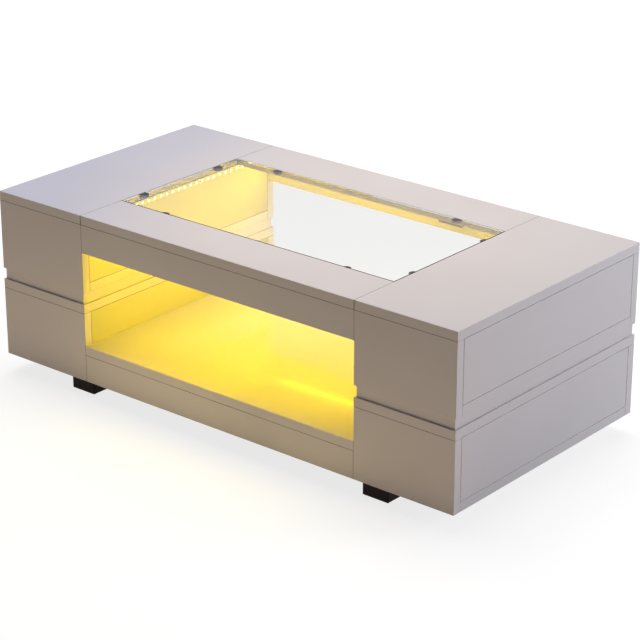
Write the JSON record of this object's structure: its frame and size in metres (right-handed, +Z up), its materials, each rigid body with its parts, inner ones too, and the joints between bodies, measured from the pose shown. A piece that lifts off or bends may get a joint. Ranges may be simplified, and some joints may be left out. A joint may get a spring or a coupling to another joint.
{
  "type": "collectors display table",
  "caption": "Low rectangular display table with gloss end blocks of push-open drawers and a lit open compartment under a flush drop-in glass pane.",
  "frame": {"origin": "on the floor under the middle of the table", "axes": "+X along the length, front at -Y, +Z up"},
  "size_m": [1.2, 0.6, 0.41],
  "materials": {
    "lacquer": "high-gloss pale warm grey lacquer on MDF board",
    "drawer_board": "satin white melamine faced board",
    "glass": "clear polished tempered glass",
    "support_rubber": "matt black rubber-coated support",
    "foot_plastic": "dark brown-black moulded plastic",
    "runner_steel": "zinc-plated folded sheet steel",
    "latch_plastic": "grey moulded plastic",
    "plunger_plastic": "white moulded plastic",
    "tape_film": "white flexible printed tape",
    "led_lens": "yellow lit LED lens",
    "controller_plastic": "black moulded plastic",
    "dowel_beech": "plain beech",
    "fitting_zinc": "die-cast zinc",
    "screw_steel": "zinc-plated steel"
  },
  "bodies": {
    "carcass": {"back_top_rail": "lacquer", "base_aprons": "lacquer", "bottom_panels": "lacquer", "cabinet_runners": "runner_steel", "cam_fittings": "fitting_zinc", "display_floor": "lacquer", "dowels": "dowel_beech", "feet": "foot_plastic", "front_top_rail": "lacquer", "glass_supports": "support_rubber", "inner_panels": "lacquer", "latch_housings": "latch_plastic", "led_chips": "led_lens", "led_controller": "controller_plastic", "led_tape": "tape_film", "left_lower_back_panel": "lacquer", "left_lower_front_panel": "lacquer", "left_middle_panel": "lacquer", "left_top_panel": "lacquer", "left_upper_back_panel": "lacquer", "left_upper_front_panel": "lacquer", "power_inlet": "controller_plastic", "right_lower_back_panel": "lacquer", "right_lower_front_panel": "lacquer", "right_middle_panel": "lacquer", "right_top_panel": "lacquer", "right_upper_back_panel": "lacquer", "right_upper_front_panel": "lacquer", "screws": "screw_steel", "spacer_rails": "lacquer", "upper_aprons": "lacquer"},
    "left_upper_drawer": {"left_upper_drawer_front": "lacquer", "left_upper_drawer_sides": "drawer_board", "left_upper_drawer_back": "drawer_board", "left_upper_drawer_bottom": "drawer_board", "left_upper_drawer_runners": "runner_steel"},
    "left_upper_middle_runner": {"left_upper_middle_runners": "runner_steel"},
    "left_upper_plunger": {"left_upper_latch_plunger": "plunger_plastic"},
    "left_lower_drawer": {"left_lower_drawer_front": "lacquer", "left_lower_drawer_sides": "drawer_board", "left_lower_drawer_back": "drawer_board", "left_lower_drawer_bottom": "drawer_board", "left_lower_drawer_runners": "runner_steel"},
    "left_lower_middle_runner": {"left_lower_middle_runners": "runner_steel"},
    "left_lower_plunger": {"left_lower_latch_plunger": "plunger_plastic"},
    "right_upper_drawer": {"right_upper_drawer_front": "lacquer", "right_upper_drawer_sides": "drawer_board", "right_upper_drawer_back": "drawer_board", "right_upper_drawer_bottom": "drawer_board", "right_upper_drawer_runners": "runner_steel"},
    "right_upper_middle_runner": {"right_upper_middle_runners": "runner_steel"},
    "right_upper_plunger": {"right_upper_latch_plunger": "plunger_plastic"},
    "right_lower_drawer": {"right_lower_drawer_front": "lacquer", "right_lower_drawer_sides": "drawer_board", "right_lower_drawer_back": "drawer_board", "right_lower_drawer_bottom": "drawer_board", "right_lower_drawer_runners": "runner_steel"},
    "right_lower_middle_runner": {"right_lower_middle_runners": "runner_steel"},
    "right_lower_plunger": {"right_lower_latch_plunger": "plunger_plastic"},
    "glass_pane": {"glass_top": "glass"}
  },
  "joints": [
    {"name": "left_upper_drawer_slide", "type": "slide", "parent": "carcass", "child": "left_upper_drawer", "axis": [-1, 0, 0], "range_m": [0, 0.15]},
    {"name": "left_upper_runner_slide", "type": "slide", "parent": "carcass", "child": "left_upper_middle_runner", "axis": [-1, 0, 0], "range_m": [0, 0.075]},
    {"name": "left_upper_latch_press", "type": "slide", "parent": "carcass", "child": "left_upper_plunger", "axis": [-1, 0, 0], "range_m": [-0.003, 0], "stiffness_N_per_m": 400},
    {"name": "left_lower_drawer_slide", "type": "slide", "parent": "carcass", "child": "left_lower_drawer", "axis": [-1, 0, 0], "range_m": [0, 0.15]},
    {"name": "left_lower_runner_slide", "type": "slide", "parent": "carcass", "child": "left_lower_middle_runner", "axis": [-1, 0, 0], "range_m": [0, 0.075]},
    {"name": "left_lower_latch_press", "type": "slide", "parent": "carcass", "child": "left_lower_plunger", "axis": [-1, 0, 0], "range_m": [-0.003, 0], "stiffness_N_per_m": 400},
    {"name": "right_upper_drawer_slide", "type": "slide", "parent": "carcass", "child": "right_upper_drawer", "axis": [1, 0, 0], "range_m": [0, 0.15]},
    {"name": "right_upper_runner_slide", "type": "slide", "parent": "carcass", "child": "right_upper_middle_runner", "axis": [1, 0, 0], "range_m": [0, 0.075]},
    {"name": "right_upper_latch_press", "type": "slide", "parent": "carcass", "child": "right_upper_plunger", "axis": [1, 0, 0], "range_m": [-0.003, 0], "stiffness_N_per_m": 400},
    {"name": "right_lower_drawer_slide", "type": "slide", "parent": "carcass", "child": "right_lower_drawer", "axis": [1, 0, 0], "range_m": [0, 0.15]},
    {"name": "right_lower_runner_slide", "type": "slide", "parent": "carcass", "child": "right_lower_middle_runner", "axis": [1, 0, 0], "range_m": [0, 0.075]},
    {"name": "right_lower_latch_press", "type": "slide", "parent": "carcass", "child": "right_lower_plunger", "axis": [1, 0, 0], "range_m": [-0.003, 0], "stiffness_N_per_m": 400},
    {"name": "glass_lift", "type": "slide", "parent": "carcass", "child": "glass_pane", "axis": [0, 0, 1], "range_m": [0, 0.06]}
  ],
  "couplings": [
    {"joint": "left_upper_runner_slide", "follows": "left_upper_drawer_slide", "ratio": 0.5},
    {"joint": "left_lower_runner_slide", "follows": "left_lower_drawer_slide", "ratio": 0.5},
    {"joint": "right_upper_runner_slide", "follows": "right_upper_drawer_slide", "ratio": 0.5},
    {"joint": "right_lower_runner_slide", "follows": "right_lower_drawer_slide", "ratio": 0.5}
  ]
}
